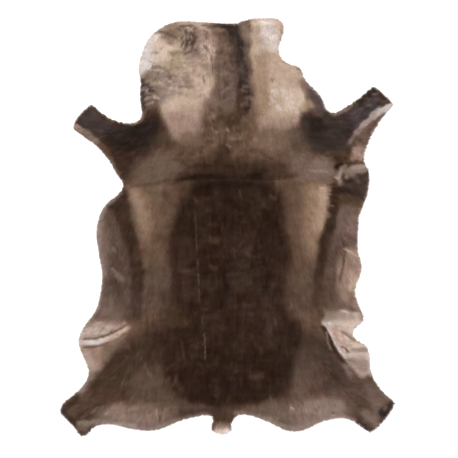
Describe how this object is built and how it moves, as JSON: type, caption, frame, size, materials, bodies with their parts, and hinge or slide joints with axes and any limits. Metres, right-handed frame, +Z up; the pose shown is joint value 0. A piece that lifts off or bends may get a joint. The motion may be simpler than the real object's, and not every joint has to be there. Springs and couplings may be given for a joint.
{
  "type": "reindeer hide",
  "caption": "Tanned reindeer hide with its hair on, laid out flat: pale neck, dark back, cream belly folds, splayed legs and a short tail.",
  "frame": {"origin": "on the surface that the hide lies on, under the middle of its outline's box", "axes": "+Z up out of the hair side, +Y from the tail to the neck, +X to the right seen from above with the neck away from the viewer"},
  "size_m": [1.0138, 1.2628, 0.0218],
  "materials": {
    "coat": "dense straight reindeer hair lying from the neck to the tail, dark brown on the back, taupe on the flanks and cream at the neck and belly",
    "skin": "pale tanned suede on the flesh side"
  },
  "bodies": {
    "root": {"hide": "coat"}
  },
  "joints": []
}
